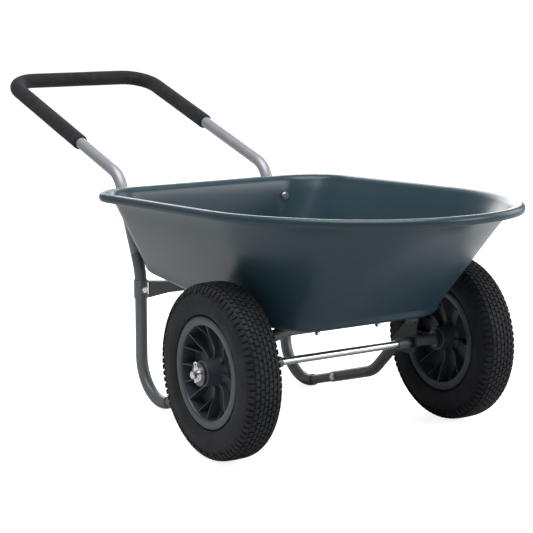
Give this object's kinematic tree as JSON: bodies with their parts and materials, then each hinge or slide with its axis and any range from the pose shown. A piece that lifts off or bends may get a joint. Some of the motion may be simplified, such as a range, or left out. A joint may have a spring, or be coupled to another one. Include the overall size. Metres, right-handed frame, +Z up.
{
  "type": "garden cart",
  "caption": "Garden cart with a deep moulded tray on a bent tube frame, side wheels on a through axle and a U-shaped push handle with a foam grip.",
  "frame": {"origin": "on the ground, under the middle of the cart's overall box", "axes": "+X to the pusher's left, +Y back towards the handle, +Z up; the cart is symmetric about the YZ plane"},
  "size_m": [0.664, 1.4883, 0.6499],
  "materials": {
    "tray_plastic": "semi-gloss moulded polypropylene, dark teal",
    "frame_paint": "satin powder coat, silver grey",
    "grip_foam": "matte closed-cell foam",
    "zinc": "bright zinc plate",
    "tyre_rubber": "matte black rubber",
    "tube_rubber": "black rubber",
    "rim_plastic": "satin dark slate plastic",
    "bush_plastic": "matte black nylon"
  },
  "bodies": {
    "frame": {"tray": "tray_plastic", "handle_tube": "frame_paint", "foam_grip": "grip_foam", "front_frame_tube": "frame_paint", "rear_brace": "frame_paint", "axle_rod": "zinc", "floor_bolts": "zinc", "floor_washers": "zinc", "floor_nuts": "zinc", "wall_bolts": "zinc", "wall_washers": "zinc", "wall_spacers": "frame_paint", "wall_nuts": "zinc", "brace_bolts": "zinc", "brace_nuts": "zinc", "joint_nuts": "zinc", "axle_bracket_left": "frame_paint", "axle_bracket_right": "frame_paint", "axle_sleeve_left": "frame_paint", "axle_sleeve_right": "frame_paint", "inner_washer_left": "zinc", "inner_washer_right": "zinc", "outer_washer_left": "zinc", "outer_washer_right": "zinc", "end_washer_left": "zinc", "end_washer_right": "zinc", "split_pin_left": "zinc", "split_pin_right": "zinc", "leg_left": "frame_paint", "leg_right": "frame_paint", "joint_bolt_left": "zinc", "joint_bolt_right": "zinc"},
    "wheel_left": {"tyre_left": "tyre_rubber", "inner_tube_left": "tube_rubber", "rim_left": "rim_plastic", "bush_outer_left": "bush_plastic", "bush_inner_left": "bush_plastic", "valve_left": "tube_rubber"},
    "wheel_right": {"tyre_right": "tyre_rubber", "inner_tube_right": "tube_rubber", "rim_right": "rim_plastic", "bush_outer_right": "bush_plastic", "bush_inner_right": "bush_plastic", "valve_right": "tube_rubber"}
  },
  "joints": [
    {"name": "wheel_left_spin", "type": "hinge", "parent": "frame", "child": "wheel_left", "pos_m": [0.2715, -0.3605, 0.165], "axis": [1, 0, 0], "continuous": true},
    {"name": "wheel_right_spin", "type": "hinge", "parent": "frame", "child": "wheel_right", "pos_m": [-0.2715, -0.3605, 0.165], "axis": [1, 0, 0], "continuous": true}
  ]
}
